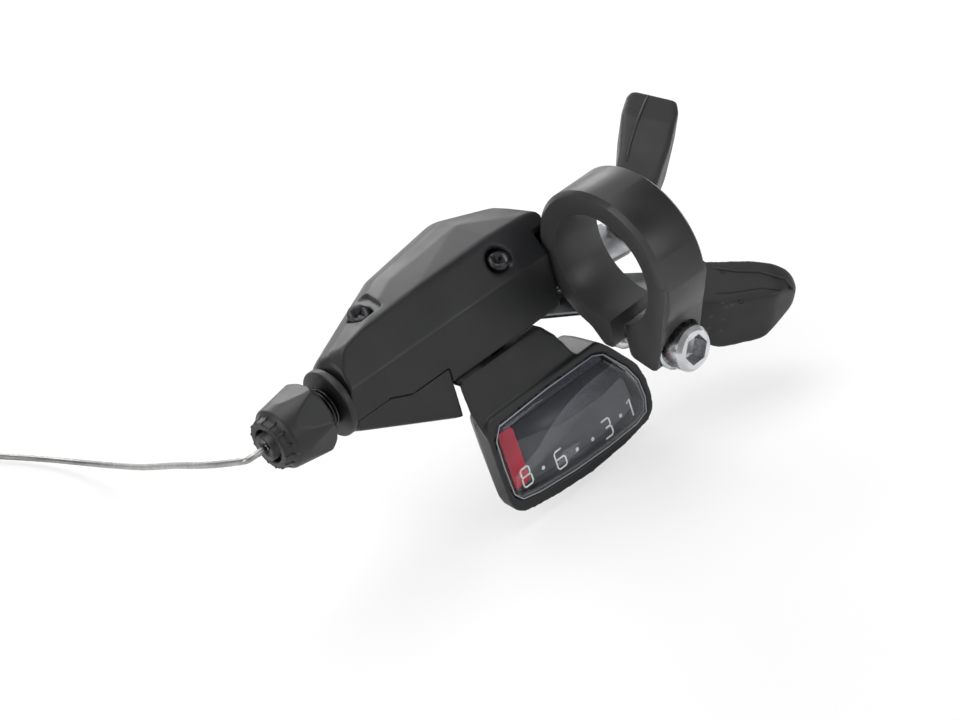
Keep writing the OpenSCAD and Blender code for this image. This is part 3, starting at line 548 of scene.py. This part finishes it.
def line_on(name, node, pixels, width, raise_, body, slot, mat):
    """A rounded strip that follows a surface along a line of pixels."""
    path = []
    for (ax, ay), (bx, by) in zip(pixels, pixels[1:]):
        for k in range(10):
            place, normal = hit(node, ax + (bx - ax) * k / 10, ay + (by - ay) * k / 10)
            if place is not None and (not path or (place - path[-1][0]).length > 0.2 * MM):
                path.append((place, normal))
    if len(path) < 4:
        print("no surface for", name)
        return None
    verts, faces, sides = [], [], 8
    for i, (place, normal) in enumerate(path):
        tangent = (path[min(i + 1, len(path) - 1)][0] - path[max(i - 1, 0)][0]).normalized()
        across = tangent.cross(normal).normalized()
        taper = min(1, 0.25 + min(i, len(path) - 1 - i) / 4)
        for k in range(sides):
            t = 2 * math.pi * k / sides
            up = normal * (raise_ * taper * math.sin(t))
            verts.append(place + across * (width / 2 * taper * math.cos(t)) + up)
        if i:
            b = (i - 1) * sides
            faces += [(b + k, b + (k + 1) % sides, b + sides + (k + 1) % sides, b + sides + k)
                      for k in range(sides)]
    faces += [tuple(range(sides - 1, -1, -1)), tuple(range(len(verts) - sides, len(verts)))]
    return piece(name, verts, faces, body, slot, mat)


def pit_on(name, node, px, py, radius, body, slot, mat):
    """A small moulding pit: a shallow ring and floor on the surface, whose darkness is painted shade from the
    material it is given.
    """
    place, normal = hit(node, px, py)
    if place is None:
        print("no surface for", name)
        return
    a = normal.orthogonal().normalized()
    b = normal.cross(a)
    verts, faces, sides = [place + normal * 0.02 * MM], [], 20
    for r, h in ((radius, 0.02 * MM), (radius * 1.15, 0.06 * MM), (radius * 1.3, -0.05 * MM)):
        verts += [place + r * (math.cos(2 * math.pi * k / sides) * a + math.sin(2 * math.pi * k / sides) * b)
                  + normal * h for k in range(sides)]
    faces += [(0, 1 + k, 1 + (k + 1) % sides) for k in range(sides)]
    for ring in range(2):
        m, n = 1 + ring * sides, 1 + (ring + 1) * sides
        faces += [(m + k, n + k, n + (k + 1) % sides, m + (k + 1) % sides) for k in range(sides)]
    piece(name, verts, faces, body, slot, mat)


line_on("thumb_ridge", "thumb_lever_pad", THUMB_RIDGE, 0.7 * MM, 0.22 * MM,
        "thumb_lever", "lever_plastic", materials["lever_plastic"])
# The groove is a raised strip coloured with near-black painted shade, not a cut into the pad
line_on("thumb_groove", "thumb_lever_pad", THUMB_GROOVE, 0.45 * MM, 0.1 * MM,
        "thumb_lever", "lever_plastic", recess_painted_shade)
# The pits are raised rings coloured with near-black painted shade
for i, (px, py) in enumerate(THUMB_PITS):
    pit_on(f"thumb_pit_{i + 1}", "thumb_lever_pad", px, py, 0.5 * MM,
           "thumb_lever", "lever_plastic", recess_painted_shade)
line_on("release_crease", "release_lever_pad", RELEASE_CREASE, 0.6 * MM, 0.18 * MM,
        "release_lever", "lever_plastic", materials["lever_plastic"])

# Thread on the adjuster's stem and grip ribs round the knob's front collar
CABLE_AT = Vector((0, 17.6, -2.2)) * MM


def ring_of(name, x_from, pitch, turns, radius, wire, body, slot, mat):
    """A round thread along the cable's line."""
    steps = 24
    path = [CABLE_AT + Vector((x_from * MM - pitch * MM * i / steps,
                               radius * MM * math.cos(2 * math.pi * i / steps),
                               radius * MM * math.sin(2 * math.pi * i / steps)))
            for i in range(int(turns * steps) + 1)]
    return piece(name, *strand_tube(path, wire * MM, 6, 1, 0), body, slot, mat)


ring_of("stem_thread", -56.6, 0.8, 3.4, 2.5, 0.22, "adjuster", "dark_steel", screw_black)
RIBS = 14
verts, faces = [], []
for i in range(RIBS):
    a = 2 * math.pi * (i + 0.5) / RIBS
    out = Vector((0, math.cos(a), math.sin(a)))
    side = Vector((0, -out.z, out.y))
    first = len(verts)
    for x, r in ((-68.3, 5.1), (-69.2, 4.7), (-70.0, 4.55)):
        for w, h in ((-0.34, -0.4), (-0.22, 0), (0, 0.08), (0.22, 0), (0.34, -0.4)):
            verts.append(CABLE_AT + Vector((x * MM, 0, 0)) + out * ((r + h) * MM) + side * (w * MM))
    for j in range(2):
        m, n = first + j * 5, first + (j + 1) * 5
        faces += [(m + k, m + (k + 1) % 5, n + (k + 1) % 5, n + k) for k in range(5)]
    faces += [tuple(range(first + 4, first - 1, -1)), tuple(range(first + 10, first + 15))]
piece("knob_ribs", verts, faces, "adjuster", "knob_plastic", materials["knob_plastic"])

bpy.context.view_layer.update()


# Stage: a pale floor under the coil, and soft studio light
FLOOR_Z = -43.7 * MM


def stage_material(name, shade, glow):
    """Pale paper that keeps shadows and shows nearly white to the camera."""
    mat, tree, shader, coords = node_tree(name)
    shade_out = mixed(tree, ranged(tree, noise(tree, coords, 3, 3), 0, 1), (shade,) * 3, (shade * 0.98,) * 3)
    tree.links.new(shade_out, shader.inputs["Base Color"])
    shader.inputs["Roughness"].default_value = 0.9
    shader.inputs["Specular IOR Level"].default_value = 0.1
    light = tree.nodes.new("ShaderNodeEmission")
    light.inputs["Color"].default_value = (1, 1, 1, 1)
    light.inputs["Strength"].default_value = 0.98
    path = tree.nodes.new("ShaderNodeLightPath")
    share = tree.nodes.new("ShaderNodeMath")
    share.operation = "MULTIPLY"
    share.inputs[1].default_value = glow
    tree.links.new(path.outputs["Is Camera Ray"], share.inputs[0])
    mix = tree.nodes.new("ShaderNodeMixShader")
    tree.links.new(share.outputs[0], mix.inputs[0])
    tree.links.new(shader.outputs[0], mix.inputs[1])
    tree.links.new(light.outputs[0], mix.inputs[2])
    tree.links.new(mix.outputs[0], tree.nodes["Material Output"].inputs["Surface"])
    return mat


floor_mesh = bpy.data.meshes.new("floor")
FLOOR_HALF = 4.0
corners = [(x * FLOOR_HALF, y * FLOOR_HALF, FLOOR_Z) for x, y in ((-1, -1), (1, -1), (1, 1), (-1, 1))]
floor_mesh.from_pydata(corners, [], [(0, 1, 2, 3)])
floor = bpy.data.objects.new("floor", floor_mesh)
scene.collection.objects.link(floor)
floor_mesh.materials.append(stage_material("floor_paper", 0.86, 0.62))

world = bpy.data.worlds.new("studio")
scene.world = world
world.use_nodes = True
sky = world.node_tree
background = sky.nodes["Background"]
background.inputs["Color"].default_value = (1, 1, 1, 1)
ray = sky.nodes.new("ShaderNodeLightPath")
strength = sky.nodes.new("ShaderNodeMapRange")
strength.inputs["To Min"].default_value = 0.4
strength.inputs["To Max"].default_value = 1.0
seen = sky.nodes.new("ShaderNodeMath")
seen.operation = "MAXIMUM"
sky.links.new(ray.outputs["Is Camera Ray"], seen.inputs[0])
sky.links.new(ray.outputs["Is Transmission Ray"], seen.inputs[1])
sky.links.new(seen.outputs[0], strength.inputs["Value"])
sky.links.new(strength.outputs["Result"], background.inputs["Strength"])


def softbox(name, at, look, width, height, power):
    light = bpy.data.lights.new(name, "AREA")
    light.shape = "RECTANGLE"
    light.size, light.size_y = width, height
    light.energy = power
    obj = bpy.data.objects.new(name, light)
    obj.location = at
    obj.rotation_mode = "QUATERNION"
    obj.rotation_quaternion = (Vector(look) - Vector(at)).to_track_quat("-Z", "Y")
    scene.collection.objects.link(obj)


AIM = (-0.02, 0.01, -0.01)
softbox("top_box", (0.05, 0.15, 0.75), AIM, 0.6, 0.6, 4.2)
softbox("left_box", (-0.75, 0.15, 0.35), AIM, 0.4, 0.5, 2.6)
softbox("front_box", (0.25, -0.75, 0.30), AIM, 0.4, 0.4, 1.9)
softbox("back_box", (0.25, 0.80, 0.35), AIM, 0.8, 0.3, 4.5)

scene.view_settings.view_transform = "Standard"
